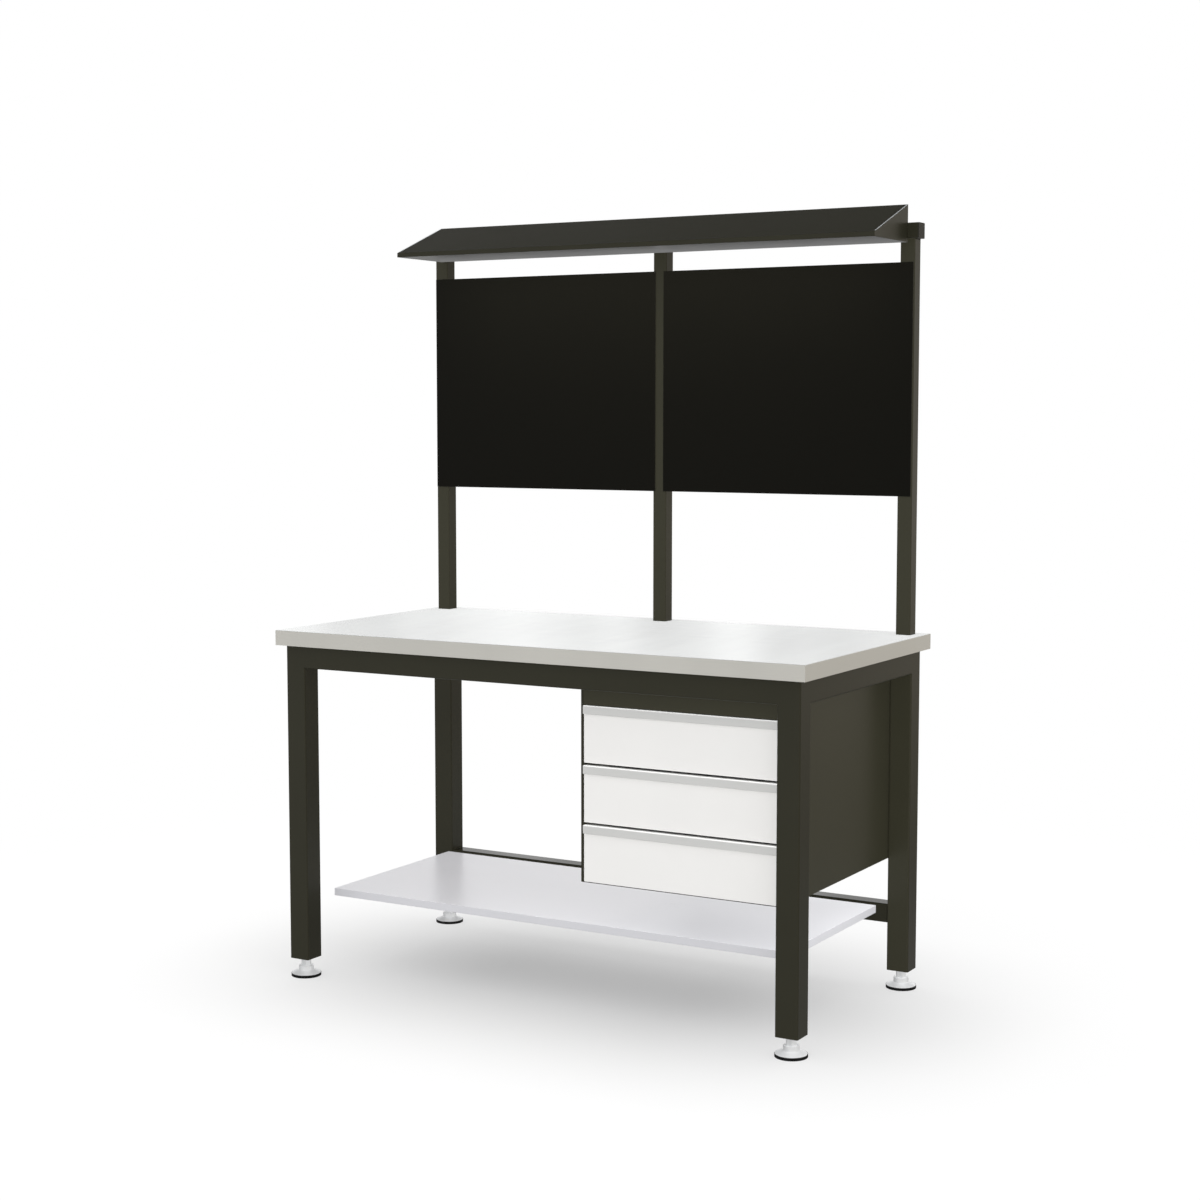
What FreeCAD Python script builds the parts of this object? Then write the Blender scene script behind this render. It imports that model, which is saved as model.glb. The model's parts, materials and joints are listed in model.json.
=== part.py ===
import FreeCAD, Part
import math
import os

# Workbench on a welded tube frame: steel-clad worktop, hanging drawer cabinet, low shelf,
# and three uprights that carry two back panels and a sloping hood.
# Millimetres. X runs along the front edge, +Y to the back, +Z up.
# The origin is on the floor, under the middle of the worktop.

V = FreeCAD.Vector

# Tube frame
frame_length = 1500.0
frame_depth = 750.0
leg_length = 850.0
tube_side = 60.0
tube_wall = 3.0
tube_corner = 4.0
end_plate_thickness = 6.0
weld_gap = 0.1

# Levelling feet, stacked from the floor up to the leg
pad_diameter = 80.0
pad_height = 7.5
foot_diameter = 78.0
foot_cone_rise = 8.5
boss_diameter = 39.0
boss_height = 12.0
spanner_hex_flats = 24.0
spanner_hex_height = 22.0
spindle_diameter = 16.0
spindle_reach = 140.0
thread_clearance = 0.3

# Worktop
worktop_overhang = 20.0
worktop_thickness = 40.0
cover_sheet = 1.2
cover_return = 18.0
cover_edge_radius = 1.5
lug_spacing = 920.0
lug_width = 40.0
lug_reach = 40.0
lug_thickness = 4.0
lug_slot_length = 14.0
screw_diameter = 6.0
screw_head_flats = 10.0
screw_head_height = 4.0
screw_depth_in_core = 25.0
screw_clearance = 0.3

# Low shelf and the rail that carries it
lower_rail_side = 50.0
lower_rail_wall = 3.0
lower_rail_centre_height = 200.0
shelf_top_height = 230.0
shelf_thickness = 20.0
shelf_sheet = 1.5
shelf_return = 15.0
shelf_end_gap = 15.0
shelf_edge_gap = 40.0
arm_spacing = 800.0
arm_width = 40.0
arm_sheet = 2.5
arm_root_height = 32.0
arm_tip_height = 6.0
arm_tip_inset = 20.0

# Uprights, their spigots and the top rail
upright_side = 40.0
upright_wall = 2.0
upright_corner = 3.0
upright_length = 1020.0
spigot_side = 34.0
spigot_wall = 3.0
spigot_insert = 120.0
spigot_hole_clearance = 0.5
lock_bolt_height = 40.0
rail_cap_thickness = 3.0
rail_cap_plug_depth = 15.0
rail_cap_plug_gap = 0.2
bolt_diameter = 8.0
bolt_clearance = 0.2
bolt_head_flats = 13.0
bolt_head_height = 5.3
bolt_grip = 15.0

# Back panels
panel_depth = 4.0
panel_sheet = 1.5
panel_gap = 26.0
panel_reveal = 3.0
panel_rise = 360.0
panel_top_gap = 60.0
panel_flange = 15.0
panel_flange_gap = 4.0
bracket_sheet = 2.0
bracket_height = 40.0
bracket_leg_on_upright = 35.0
bracket_leg_on_panel = 28.0
bracket_end_distance = 80.0

# Hood
hood_depth = 220.0
hood_back_height = 96.0
hood_lip = 12.0
hood_drop = 10.0
hood_end_inset = 30.0
hood_sheet = 1.5
hood_panel_flange = 9.0

# Drawer cabinet
cabinet_width = 558.0
cabinet_setback = 50.0
cabinet_sheet = 1.5
cabinet_post = 7.0
cabinet_post_depth = 40.0
cabinet_top_flange = 20.0
cabinet_floor_reveal = 2.0
fascia_height = 43.5
fascia_flange = 20.0
fascia_gap = 2.0

# Drawers, from the top down
drawer_names = ("top", "middle", "bottom")
drawer_pitch = 150.0
front_gap = 6.5
front_side_gap = 2.0
front_depth = 18.0
front_proud = 1.0
front_sheet = 1.2
handle_height = 21.0
handle_web = 2.0
handle_face = 1.5
handle_reach = 6.0
handle_nose_radius = 3.0
box_sheet = 1.0
box_lift = 12.0
box_height = 110.0
box_hem = 6.0

# Telescopic runners: three nested channels that run inside each other
runner_thickness = 12.7
runner_height = 45.0
runner_sheet = 1.2
runner_play = 0.3
runner_step = 2.0
runner_lift = 40.0
runner_rear_room = 70.0

# Heights that follow from the stack
foot_height = pad_height + foot_cone_rise + boss_height + spanner_hex_height
frame_top = foot_height + leg_length
rail_bottom = frame_top - tube_side
worktop_top = frame_top + worktop_thickness
upright_top = worktop_top + upright_length
shelf_bottom = shelf_top_height - shelf_thickness
hood_bottom = upright_top - hood_drop
front_height = drawer_pitch - front_gap
first_front_top = rail_bottom - fascia_height - fascia_gap
last_front_bottom = first_front_top - (len(drawer_names) - 1) * drawer_pitch - front_height
cabinet_bottom = last_front_bottom - cabinet_floor_reveal

# Places that follow from the frame
leg_x = (frame_length - tube_side) / 2
leg_y = (frame_depth - tube_side) / 2
inner_x = frame_length / 2 - tube_side
inner_y = frame_depth / 2 - tube_side
upright_xs = (-leg_x, 0.0, leg_x)
upright_front = leg_y - upright_side / 2
upright_back = leg_y + upright_side / 2
cabinet_right = inner_x
cabinet_left = cabinet_right - cabinet_width
cabinet_front = cabinet_setback - frame_depth / 2
cabinet_back = inner_y
front_face = cabinet_front - front_proud
front_back = front_face + front_depth
bay_left = cabinet_left + cabinet_post
bay_right = cabinet_right - cabinet_post
runner_length = cabinet_back - runner_rear_room - front_back
box_left = bay_left + runner_thickness
box_right = bay_right - runner_thickness


def block(x, y, z):
    """Box between the low and high value of each pair."""
    size = [high - low for low, high in (x, y, z)]
    return Part.makeBox(*size, V(x[0], y[0], z[0]))


def prism(points, length):
    """Closed outline of points, drawn out along a vector."""
    return Part.Face(Part.makePolygon(points + points[:1])).extrude(length)


def square_bar(side, length):
    """Sharp square bar standing on the origin."""
    return Part.makeBox(side, side, length, V(-side / 2, -side / 2, 0))


def bar(side, corner, length):
    """Square bar standing on the origin, with its long edges rounded."""
    solid = square_bar(side, length)
    long_edges = [edge for edge in solid.Edges if edge.BoundBox.ZLength > length / 2]
    return solid.makeFillet(corner, long_edges)


def tube(side, wall, corner, length):
    """Square tube standing on the origin: rounded outside, plain inside."""
    return bar(side, corner, length).cut(square_bar(side - 2 * wall, length))


def hexagon(flats, height):
    """Hexagonal prism standing on the origin."""
    radius = flats / math.sqrt(3)
    turns = [i * math.pi / 3 for i in range(6)]
    corners = [V(radius * math.cos(turn), radius * math.sin(turn), 0) for turn in turns]
    return prism(corners, V(0, 0, height))


def laid_along_x(solid, start):
    """A standing piece laid down so that its height runs along +X from a point."""
    turned = solid.copy()
    turned.rotate(V(0, 0, 0), V(0, 1, 0), 90)
    turned.translate(start)
    return turned


def laid_along_y(solid, start):
    """A standing piece laid down so that its height runs along +Y from a point."""
    turned = solid.copy()
    turned.rotate(V(0, 0, 0), V(1, 0, 0), -90)
    turned.translate(start)
    return turned


def moved(solid, x, y, z):
    copy = solid.copy()
    copy.translate(V(x, y, z))
    return copy


def mirrored_x(solid, x):
    return solid.mirror(V(x, 0, 0), V(1, 0, 0))


def save(name, *solids):
    shape = solids[0] if len(solids) == 1 else Part.makeCompound(list(solids))
    shape.exportStep("parts/%s.step" % name)


def lug_places():
    """Centres of the lugs, two along the inside of each long rail."""
    y = inner_y - lug_reach / 2
    return [(x, side * y) for side in (-1, 1) for x in (-lug_spacing / 2, lug_spacing / 2)]


def make_legs():
    leg = tube(tube_side, tube_wall, tube_corner, leg_length)
    for side, x in (("left", -leg_x), ("right", leg_x)):
        save("leg_front_" + side, moved(leg, x, -leg_y, foot_height))
        save("leg_rear_" + side, moved(leg, x, leg_y, foot_height))


def make_leg_end_plates():
    """Plates welded into both ends of each leg; the lower ones are tapped for the feet."""
    side = tube_side - 2 * tube_wall - 2 * weld_gap
    plate = square_bar(side, end_plate_thickness)
    tapping = Part.makeCylinder(spindle_diameter / 2 + thread_clearance, end_plate_thickness)
    tapped = plate.cut(tapping)
    plates = []
    for x in (-leg_x, leg_x):
        for y in (-leg_y, leg_y):
            plates.append(moved(tapped, x, y, foot_height))
            plates.append(moved(plate, x, y, frame_top - end_plate_thickness))
    save("leg_end_plates", *plates)


def make_top_rails():
    middle = frame_top - tube_side / 2
    long_rail = tube(tube_side, tube_wall, tube_corner, 2 * inner_x)
    short_rail = tube(tube_side, tube_wall, tube_corner, 2 * inner_y)
    rails = {
        "front_top_rail": laid_along_x(long_rail, V(-inner_x, -leg_y, middle)),
        "rear_top_rail": laid_along_x(long_rail, V(-inner_x, leg_y, middle)),
        "left_top_rail": laid_along_y(short_rail, V(-leg_x, -inner_y, middle)),
        "right_top_rail": laid_along_y(short_rail, V(leg_x, -inner_y, middle)),
    }
    for name, rail in rails.items():
        save(name, rail)


def make_lower_rail():
    rail = tube(lower_rail_side, lower_rail_wall, tube_corner, 2 * inner_x)
    save("rear_lower_rail", laid_along_x(rail, V(-inner_x, leg_y, lower_rail_centre_height)))


def shelf_box(inset, z):
    """Block of the shelf's outline, drawn in by an inset."""
    half_x = inner_x - shelf_end_gap - inset
    half_y = inner_y - shelf_edge_gap - inset
    return block((-half_x, half_x), (-half_y, half_y), z)


def make_shelf():
    """Folded tray: top sheet, four skirts and a return all round the bottom."""
    whole = shelf_box(0, (shelf_bottom, shelf_top_height))
    hollow = shelf_box(shelf_sheet, (shelf_bottom + shelf_sheet, shelf_top_height - shelf_sheet))
    mouth = shelf_box(shelf_sheet + shelf_return, (shelf_bottom, shelf_bottom + shelf_sheet))
    save("shelf_tray", whole.cut(hollow).cut(mouth))


def make_shelf_arms():
    """Tapered channels, open below, that reach from the lower rail under the whole shelf."""
    root_y = leg_y - lower_rail_side / 2
    tip_y = arm_tip_inset - (inner_y - shelf_edge_gap)
    side_view = [V(0, root_y, shelf_bottom), V(0, tip_y, shelf_bottom),
                 V(0, tip_y, shelf_bottom - arm_tip_height), V(0, root_y, shelf_bottom - arm_root_height)]
    whole = moved(prism(side_view, V(arm_width, 0, 0)), -arm_width / 2, 0, 0)
    half_inside = arm_width / 2 - arm_sheet
    inside = block((-half_inside, half_inside), (tip_y, root_y),
                   (shelf_bottom - arm_root_height, shelf_bottom - arm_sheet))
    arm = whole.cut(inside)
    save("shelf_arms", *[moved(arm, x, 0, 0) for x in (-arm_spacing / 2, arm_spacing / 2)])


def worktop_box(inset, z):
    """Block of the worktop's outline, drawn in by an inset."""
    half_x = frame_length / 2 + worktop_overhang - inset
    half_y = frame_depth / 2 + worktop_overhang - inset
    return block((-half_x, half_x), (-half_y, half_y), z)


def spigot_holes():
    """Square openings for the three spigots through the whole worktop."""
    half = spigot_side / 2 + spigot_hole_clearance
    heights = (frame_top, worktop_top)
    holes = [block((x - half, x + half), (leg_y - half, leg_y + half), heights) for x in upright_xs]
    return Part.makeCompound(holes)


def worktop_core():
    """Board that fills the steel cover, stepped where the cover's return goes under it."""
    upper = worktop_box(cover_sheet, (frame_top + cover_sheet, worktop_top - cover_sheet))
    lower = worktop_box(cover_return, (frame_top, frame_top + cover_sheet))
    return upper.fuse(lower).removeSplitter()


def make_worktop():
    core = worktop_core()
    outside = worktop_box(0, (frame_top, worktop_top))
    top_edges = [edge for edge in outside.Edges if edge.BoundBox.ZMin > frame_top + cover_sheet]
    cover = outside.makeFillet(cover_edge_radius, top_edges).cut(core)
    pilot_depth = screw_depth_in_core + screw_clearance
    pilots = [Part.makeCylinder(screw_diameter / 2 + screw_clearance, pilot_depth, V(x, y, frame_top))
              for x, y in lug_places()]
    save("worktop_core", core.cut(spigot_holes()).cut(Part.makeCompound(pilots)))
    save("worktop_steel_cover", cover.cut(spigot_holes()))


def make_worktop_lugs():
    """Slotted tabs welded inside the long rails, flush with their tops, and the screws through them."""
    bottom = frame_top - lug_thickness
    half_x = lug_width / 2
    half_y = lug_reach / 2
    head = moved(hexagon(screw_head_flats, screw_head_height), 0, 0, bottom - screw_head_height)
    shank = Part.makeCylinder(screw_diameter / 2, lug_thickness + screw_depth_in_core, V(0, 0, bottom))
    screw = head.fuse(shank)
    half_slot = lug_slot_length / 2
    half_gap = screw_diameter / 2 + screw_clearance
    z = (bottom, frame_top)
    tab = block((-half_x, half_x), (-half_y, half_y), z)
    lug = tab.cut(block((-half_slot, half_slot), (-half_gap, half_gap), z))
    lugs = [moved(lug, x, y, 0) for x, y in lug_places()]
    save("worktop_lugs", *lugs)
    save("worktop_screws", *[moved(screw, x, y, 0) for x, y in lug_places()])


def make_uprights():
    post = tube(upright_side, upright_wall, upright_corner, upright_length)
    spigot_length = worktop_thickness + spigot_insert
    spigot_bore = square_bar(spigot_side - 2 * spigot_wall, spigot_length)
    spigot = square_bar(spigot_side, spigot_length).cut(spigot_bore)
    hole_radius = bolt_diameter / 2 + bolt_clearance
    hole_start = V(0, upright_back - bolt_grip, worktop_top + lock_bolt_height)
    hole = Part.makeCylinder(hole_radius, bolt_grip, hole_start, V(0, 1, 0))
    spigots = []
    for side, x in zip(("left", "middle", "right"), upright_xs):
        bored = moved(hole, x, 0, 0)
        save("upright_" + side, moved(post, x, leg_y, worktop_top).cut(bored))
        spigots.append(moved(spigot, x, leg_y, frame_top).cut(bored))
    save("upright_spigots", *spigots)


def make_top_rail():
    """Rail across the upright tops, closed by a plug at each end."""
    start = rail_cap_thickness - frame_length / 2
    z = upright_top + upright_side / 2
    rail = tube(upright_side, upright_wall, upright_corner, -2 * start)
    save("top_rail", laid_along_x(rail, V(start, leg_y, z)))
    plug_side = upright_side - 2 * upright_wall - 2 * rail_cap_plug_gap
    head = bar(upright_side, upright_corner, rail_cap_thickness)
    plug = square_bar(plug_side, rail_cap_thickness + rail_cap_plug_depth)
    left_cap = laid_along_x(head.fuse(plug), V(-frame_length / 2, leg_y, z))
    save("top_rail_end_caps", left_cap, mirrored_x(left_cap, 0))


def make_lock_bolts():
    """Hexagon bolts, put in from behind, that hold each upright on its spigot."""
    head = hexagon(bolt_head_flats, bolt_head_height)
    shank = Part.makeCylinder(bolt_diameter / 2, bolt_grip, V(0, 0, bolt_head_height))
    from_behind = laid_along_y(head.fuse(shank), V(0, 0, 0)).mirror(V(0, 0, 0), V(0, 1, 0))
    y = upright_back + bolt_head_height
    z = worktop_top + lock_bolt_height
    save("upright_lock_bolts", *[moved(from_behind, x, y, z) for x in upright_xs])


def right_panel():
    """Sheet with hemmed sides that lie on the uprights, and flanges along the top and bottom."""
    x = (panel_gap / 2, leg_x + upright_side / 2 - panel_reveal)
    z = (worktop_top + panel_rise, upright_top - panel_top_gap)
    face = upright_front - panel_depth
    back = face + panel_sheet
    hem = (upright_side - panel_gap) / 2
    flange_x = (upright_side / 2 + panel_flange_gap, leg_x - upright_side / 2 - panel_flange_gap)
    flange_y = (back, back + panel_flange)
    pieces = [
        block((x[0], x[0] + hem), (back, upright_front), z),
        block((x[1] - hem, x[1]), (back, upright_front), z),
        block(flange_x, flange_y, (z[0], z[0] + panel_sheet)),
        block(flange_x, flange_y, (z[1] - panel_sheet, z[1])),
    ]
    return block(x, (face, back), z).multiFuse(pieces).removeSplitter()


def right_panel_brackets():
    """Angles that hold the panel's back to the facing sides of two uprights."""
    back = upright_front - panel_depth + panel_sheet
    leg_y_span = (back, back + bracket_leg_on_upright)
    panel_y_span = (back, back + bracket_sheet)
    low = worktop_top + panel_rise + bracket_end_distance
    high = upright_top - panel_top_gap - bracket_end_distance
    brackets = []
    for middle in (low, high):
        z = (middle - bracket_height / 2, middle + bracket_height / 2)
        for side_face, inward in ((upright_side / 2, 1), (leg_x - upright_side / 2, -1)):
            on_upright = sorted((side_face, side_face + inward * bracket_sheet))
            on_panel = sorted((side_face, side_face + inward * bracket_leg_on_panel))
            angle = block(on_upright, leg_y_span, z).fuse(block(on_panel, panel_y_span, z))
            brackets.append(angle.removeSplitter())
    return brackets


def make_panels():
    panel = right_panel()
    save("panel_right", panel)
    save("panel_left", mirrored_x(panel, 0))
    brackets = right_panel_brackets()
    save("panel_brackets", *brackets, *[mirrored_x(bracket, 0) for bracket in brackets])


def hood_outline(inset, x):
    """Side view of the hood, drawn in from its front, slope and back by an inset."""
    slope = (hood_back_height - hood_lip) / hood_depth
    drop = inset * math.hypot(1, slope)
    front = upright_front - hood_depth
    ends = (front + inset, upright_front - inset)
    low, high = [hood_bottom + hood_lip + (y - front) * slope - drop for y in ends]
    return [V(x, ends[0], hood_bottom), V(x, ends[0], low), V(x, ends[1], high), V(x, ends[1], hood_bottom)]


def make_hood():
    """Folded shell from the lip over the slope and down the back, closed below and at the ends."""
    end = frame_length / 2 - hood_end_inset
    between = V(2 * (end - hood_sheet), 0, 0)
    start = hood_sheet - end
    shell = prism(hood_outline(0, start), between).cut(prism(hood_outline(hood_sheet, start), between))
    save("hood_shell", shell)
    left_plate = prism(hood_outline(0, -end), V(hood_sheet, 0, 0))
    save("hood_end_plate_left", left_plate)
    save("hood_end_plate_right", mirrored_x(left_plate, 0))
    y = (upright_front - hood_depth + hood_sheet, upright_front - hood_sheet)
    x = (start, -start)
    plate = block(x, y, (hood_bottom, hood_bottom + hood_sheet))
    flange_z = (hood_bottom, hood_bottom + hood_panel_flange)
    front_flange = block(x, (y[0], y[0] + hood_sheet), flange_z)
    back_flange = block(x, (y[1] - hood_sheet, y[1]), flange_z)
    save("hood_bottom_panel", plate.multiFuse([front_flange, back_flange]).removeSplitter())


def left_cabinet_side():
    """Folded wall with a hollow post at the front and back edge, and a flange under the worktop."""
    t = cabinet_sheet
    x = cabinet_left
    post = cabinet_post
    front, back = cabinet_front, cabinet_back
    depth = cabinet_post_depth
    plan = [(0, front), (post, front), (post, front + depth), (post - t, front + depth),
            (post - t, front + t), (t, front + t), (t, back - t), (post - t, back - t),
            (post - t, back - depth), (post, back - depth), (post, back), (0, back)]
    wall = prism([V(x + u, y, cabinet_bottom) for u, y in plan], V(0, 0, frame_top - cabinet_bottom))
    flange = block((x, x + cabinet_top_flange), (-inner_y, back - t), (frame_top - t, frame_top))
    under_rail = block((x, x + post), (front, -inner_y), (rail_bottom, frame_top))
    return wall.fuse(flange).cut(under_rail).removeSplitter()


def make_cabinet():
    t = cabinet_sheet
    middle = (cabinet_left + cabinet_right) / 2
    side = left_cabinet_side()
    save("cabinet_side_left", side)
    save("cabinet_side_right", mirrored_x(side, middle))
    bay = (bay_left, bay_right)
    back_z = (cabinet_bottom, frame_top - lug_thickness)
    save("cabinet_back", block(bay, (cabinet_back - t, cabinet_back), back_z))
    save("cabinet_floor", block(bay, (cabinet_front, cabinet_back - t), (cabinet_bottom, cabinet_bottom + t)))
    low = rail_bottom - fascia_height
    face = block(bay, (cabinet_front, cabinet_front + t), (low, rail_bottom))
    flange_y = (cabinet_front, cabinet_front + fascia_flange)
    flanges = [block(bay, flange_y, (z, z + t)) for z in (low, rail_bottom - t)]
    save("cabinet_fascia", face.multiFuse(flanges).removeSplitter())


def runner_channel(web, lips, height, z, y):
    """Channel of a left-hand runner: web and lips are spans across its thickness."""
    half = height / 2
    x = sorted((bay_left + web[0], bay_left + web[1]))
    whole = block((bay_left + min(web + lips), bay_left + max(web + lips)), y, (z - half, z + half))
    space_x = (bay_left + lips[0], bay_left + lips[1])
    space = block(space_x, y, (z - half + runner_sheet, z + half - runner_sheet))
    return whole.cut(space.cut(block(x, y, (z - half, z + half))))


def runner_pair(channel):
    """A left-hand channel and its right-hand twin."""
    return [channel, mirrored_x(channel, (cabinet_left + cabinet_right) / 2)]


def make_runners():
    """Cabinet, middle and drawer channels, each a little smaller than the one outside it."""
    y = (front_back, front_back + runner_length)
    step = runner_sheet + runner_play
    heights = [runner_height - 2 * i * step for i in range(3)]
    lip_end = runner_thickness - runner_step
    cabinet_rails = []
    for index, name in enumerate(drawer_names):
        z = first_front_top - index * drawer_pitch - front_height + box_lift + runner_lift
        outer = runner_channel((0, runner_sheet), (runner_sheet, lip_end), heights[0], z, y)
        middle_web = (runner_step, runner_step + runner_sheet)
        middle = runner_channel(middle_web, (middle_web[1], lip_end), heights[1], z, y)
        inner_web = (runner_thickness - runner_sheet, runner_thickness)
        inner = runner_channel(inner_web, (2 * runner_step, inner_web[0]), heights[2], z, y)
        cabinet_rails += runner_pair(outer)
        save("drawer_%s_runner_slides" % name, *runner_pair(middle))
        save("drawer_%s_runner_rails" % name, *runner_pair(inner))
    save("runner_cabinet_rails", *cabinet_rails)


def drawer_front(z):
    """Folded front, open at the back, that the handle strip caps."""
    x = (bay_left + front_side_gap, bay_right - front_side_gap)
    whole = block(x, (front_face, front_back), (z, z + front_height - handle_web))
    hollow = block((x[0] + front_sheet, x[1] - front_sheet), (front_face + front_sheet, front_back),
                   (z + front_sheet, z + front_height - handle_web - front_sheet))
    return whole.cut(hollow)


def drawer_handle(z):
    """Strip with a round nose: a web over the front's top edge and a face that hangs clear of the front."""
    x = bay_left + front_side_gap
    top = z + front_height
    nose = front_face - handle_reach
    outline = [V(x, front_back, top), V(x, nose, top), V(x, nose, top - handle_height),
               V(x, nose + handle_face, top - handle_height), V(x, nose + handle_face, top - handle_web),
               V(x, front_back, top - handle_web)]
    strip = prism(outline, V(bay_right - bay_left - 2 * front_side_gap, 0, 0))
    long_edges = [edge for edge in strip.Edges if edge.BoundBox.XLength > front_depth]
    nose_edges = [edge for edge in long_edges
                  if edge.BoundBox.YMax < nose + handle_face and edge.BoundBox.ZMin > top - handle_web]
    return strip.makeFillet(handle_nose_radius, nose_edges)


def drawer_box(z):
    """Open tray with a hem turned in round the top."""
    x = (box_left, box_right)
    y = (front_back, front_back + runner_length)
    bottom = z + box_lift
    top = bottom + box_height

    def inside(inset, low, high):
        return block((x[0] + inset, x[1] - inset), (y[0] + inset, y[1] - inset), (low, high))

    hollow = inside(box_sheet, bottom + box_sheet, top - box_sheet)
    mouth = inside(box_hem, top - box_sheet, top)
    return block(x, y, (bottom, top)).cut(hollow).cut(mouth)


def make_drawers():
    for index, name in enumerate(drawer_names):
        z = first_front_top - index * drawer_pitch - front_height
        save("drawer_%s_box" % name, drawer_box(z))
        save("drawer_%s_front" % name, drawer_front(z))
        save("drawer_%s_handle" % name, drawer_handle(z))


def foot_with_spindle():
    """Turned foot: cone and boss, then the spanner hexagon that stops on the leg, and the spindle."""
    boss_foot = pad_height + foot_cone_rise
    boss_top = boss_foot + boss_height
    half_view = [V(0, 0, pad_height), V(foot_diameter / 2, 0, pad_height), V(boss_diameter / 2, 0, boss_foot),
                 V(boss_diameter / 2, 0, boss_top), V(0, 0, boss_top)]
    face = Part.Face(Part.makePolygon(half_view + half_view[:1]))
    body = face.revolve(V(0, 0, 0), V(0, 0, 1), 360)
    grip = moved(hexagon(spanner_hex_flats, spanner_hex_height), 0, 0, boss_top)
    spindle = Part.makeCylinder(spindle_diameter / 2, spindle_reach, V(0, 0, foot_height))
    return body.multiFuse([grip, spindle]).removeSplitter()


def make_feet():
    foot = foot_with_spindle()
    pad = Part.makeCylinder(pad_diameter / 2, pad_height)
    for depth, y in (("front", -leg_y), ("rear", leg_y)):
        for side, x in (("left", -leg_x), ("right", leg_x)):
            save("foot_%s_%s" % (depth, side), moved(foot, x, y, 0))
            save("foot_pad_%s_%s" % (depth, side), moved(pad, x, y, 0))


os.makedirs("parts", exist_ok=True)
make_legs()
make_leg_end_plates()
make_top_rails()
make_lower_rail()
make_shelf()
make_shelf_arms()
make_worktop()
make_worktop_lugs()
make_uprights()
make_top_rail()
make_lock_bolts()
make_panels()
make_hood()
make_cabinet()
make_runners()
make_drawers()
make_feet()
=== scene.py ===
import json
import math

import bmesh
import bpy
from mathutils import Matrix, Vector


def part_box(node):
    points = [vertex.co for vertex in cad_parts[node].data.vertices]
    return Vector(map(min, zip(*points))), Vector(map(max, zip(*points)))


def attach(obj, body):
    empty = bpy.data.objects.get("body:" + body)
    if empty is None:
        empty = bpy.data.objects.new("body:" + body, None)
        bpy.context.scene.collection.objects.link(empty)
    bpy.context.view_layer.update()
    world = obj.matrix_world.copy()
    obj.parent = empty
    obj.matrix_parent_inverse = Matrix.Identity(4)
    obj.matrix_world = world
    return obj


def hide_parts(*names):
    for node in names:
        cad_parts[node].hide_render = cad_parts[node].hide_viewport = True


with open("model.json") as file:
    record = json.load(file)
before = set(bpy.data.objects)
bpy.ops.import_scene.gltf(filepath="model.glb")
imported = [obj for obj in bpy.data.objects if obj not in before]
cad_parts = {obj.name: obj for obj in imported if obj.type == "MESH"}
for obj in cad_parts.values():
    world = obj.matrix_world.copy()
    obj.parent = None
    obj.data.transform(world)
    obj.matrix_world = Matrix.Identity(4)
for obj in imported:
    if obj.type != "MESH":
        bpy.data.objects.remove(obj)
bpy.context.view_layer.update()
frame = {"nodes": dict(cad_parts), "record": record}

# Looks of the workbench: paint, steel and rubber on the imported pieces, and the small turned,
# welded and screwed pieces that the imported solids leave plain. Metres, +Z up, front towards -Y.

nodes = frame["nodes"]
mm = 0.001
drawers = ("top", "middle", "bottom")
upright_places = ("left", "middle", "right")

# Camera that sees the bench as the photograph does
image_pixels = 1200
focal_pixels = 2091.9
sensor_width_mm = 36.0
camera_place = (2.74464, -4.75405, 1.51961)
camera_tilt_down = 0.0900
camera_turn = 0.5238
camera_reach = 200.0

# Room: its soft light, and how bright it is where the bench mirrors it, as shares of white.
# A value named rise, edge or fade is a pair: where a change starts and where it is complete.
white = (1.0, 1.0, 1.0, 1.0)
ambience = 0.74
ambience_from_front = 0.12
ambience_from_above = 0.10
ceiling_gloss = 0.04
ceiling_rise = (0.22, 0.52)
front_gloss = 0.65
back_rise = (-0.4, 0.3)
right_gloss = 0.62
right_rise = (0.05, 0.40)
right_side_tint = (1.0, 0.91, 0.78, 1.0)
screens_bright = 1.16
screens_drop = 0.36
screens_each_way = 28
screens_edge = (0.30, 0.70)

# Floor
floor_half_width = 40.0
floor_tone = 0.48
floor_bounce_tone = 0.17
floor_grain = 0.02
floor_grains_per_metre = 350
floor_mirrored = 0.62
floor_mirrored_near_right = 0.12
floor_mirrored_per_metre = 0.047
floor_right_rise = (0.5, 1.3)
floor_lift = 0.37
floor_fade = (1.4, 2.8)

# Lamps
overhead_strength = 4.3
overhead_spread = 1.0
front_fill_strength = 1.78
front_fill_towards = (-0.55, 0.82, -0.14)
back_fill_strength = 1.3
back_fill_towards = (0.5, -0.85, -0.14)
straight_fill_strength = 1.4
straight_fill_towards = (0, 1, 0)
side_fill_strength = 1.67
side_fill_towards = (-1, 0, 0)
low_fill_watts = 275.0
low_fill_place = (1.6, -0.3, 2.6)
panel_strip_watts = 2.9
panel_strip_size = (1.4, 0.05)
panel_strip_ahead = 0.25
panel_strip_above = 0.05
panel_strip_towards = (0.0, 0.8, -0.6)
handle_light_strength = 3.6
handle_light_towards = (0.0, 0.5, -0.87)

# Finishes: how far up a face looks where it becomes an upper one, painted lighter on the worktop and
# handles, or a level one, and the marks of use
upper_face_rise = (0.3, 0.9)
level_face_rise = (0.97, 0.995)
wiping_along_per_metre = 4.2
wiping_across_per_metre = 0.7
wiping_slant = 0.6
wiping_edge = (0.3, 0.7)
dust_edge = (0.45, 0.8)

# Eased edges of the sheet pieces
edge_joined_within = 0.01 * mm
edge_plain_angle = math.radians(1)
edge_fold_angle = math.radians(40)
edge_segments = 3

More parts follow.
